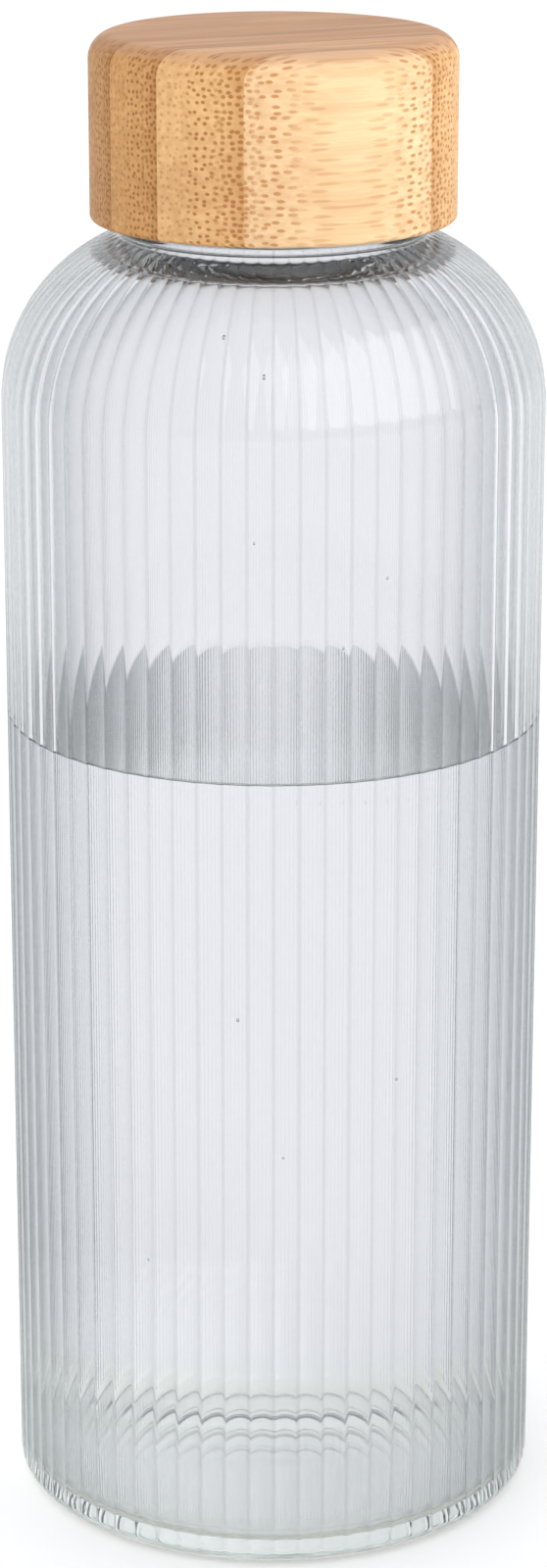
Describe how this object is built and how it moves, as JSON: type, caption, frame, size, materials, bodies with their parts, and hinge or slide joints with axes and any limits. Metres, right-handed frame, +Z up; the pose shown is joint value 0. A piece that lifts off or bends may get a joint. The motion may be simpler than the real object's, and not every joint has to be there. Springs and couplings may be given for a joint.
{
  "type": "glass water bottle",
  "caption": "Cylindrical fluted clear-glass water bottle with a round shoulder, screw neck and a laminated bamboo lid that unscrews and lifts off.",
  "frame": {"origin": "centre of the foot, on the surface that the bottle stands on", "axes": "+Z up along the bottle's axis towards the lid; -Y is the side that faces the viewer, +X to the viewer's right"},
  "size_m": [0.075, 0.075, 0.21],
  "materials": {
    "clear_glass": "clear, polished, slightly green in the thick base",
    "bamboo_light": "laminated bamboo, sanded and lightly waxed",
    "bamboo_dark": "laminated bamboo with dense fibre bundles, sanded and lightly waxed",
    "white_polypropylene": "moulded, satin",
    "silicone": "translucent white, matte",
    "cured_glue": "cured amber adhesive"
  },
  "bodies": {
    "bottle": {"glass_bottle": "clear_glass"},
    "seal": {"seal_ring": "silicone"},
    "lid": {"threaded_insert": "white_polypropylene", "glue_bed": "cured_glue", "bamboo_strip_1": "bamboo_dark", "bamboo_strip_2": "bamboo_dark", "bamboo_strip_3": "bamboo_light", "bamboo_strip_4": "bamboo_light", "bamboo_strip_5": "bamboo_light", "bamboo_strip_6": "bamboo_dark"}
  },
  "joints": [
    {"name": "lid_rise", "type": "slide", "parent": "bottle", "child": "seal", "axis": [0, 0, 1], "range_m": [0, 0.0201]},
    {"name": "lid_turn", "type": "hinge", "parent": "seal", "child": "lid", "pos_m": [0, 0, 0.2], "axis": [0, 0, 1], "range_deg": [0, 900]}
  ],
  "couplings": [
    {"joint": "lid_rise", "follows": "lid_turn", "m_per_rad": 0.0012732}
  ]
}
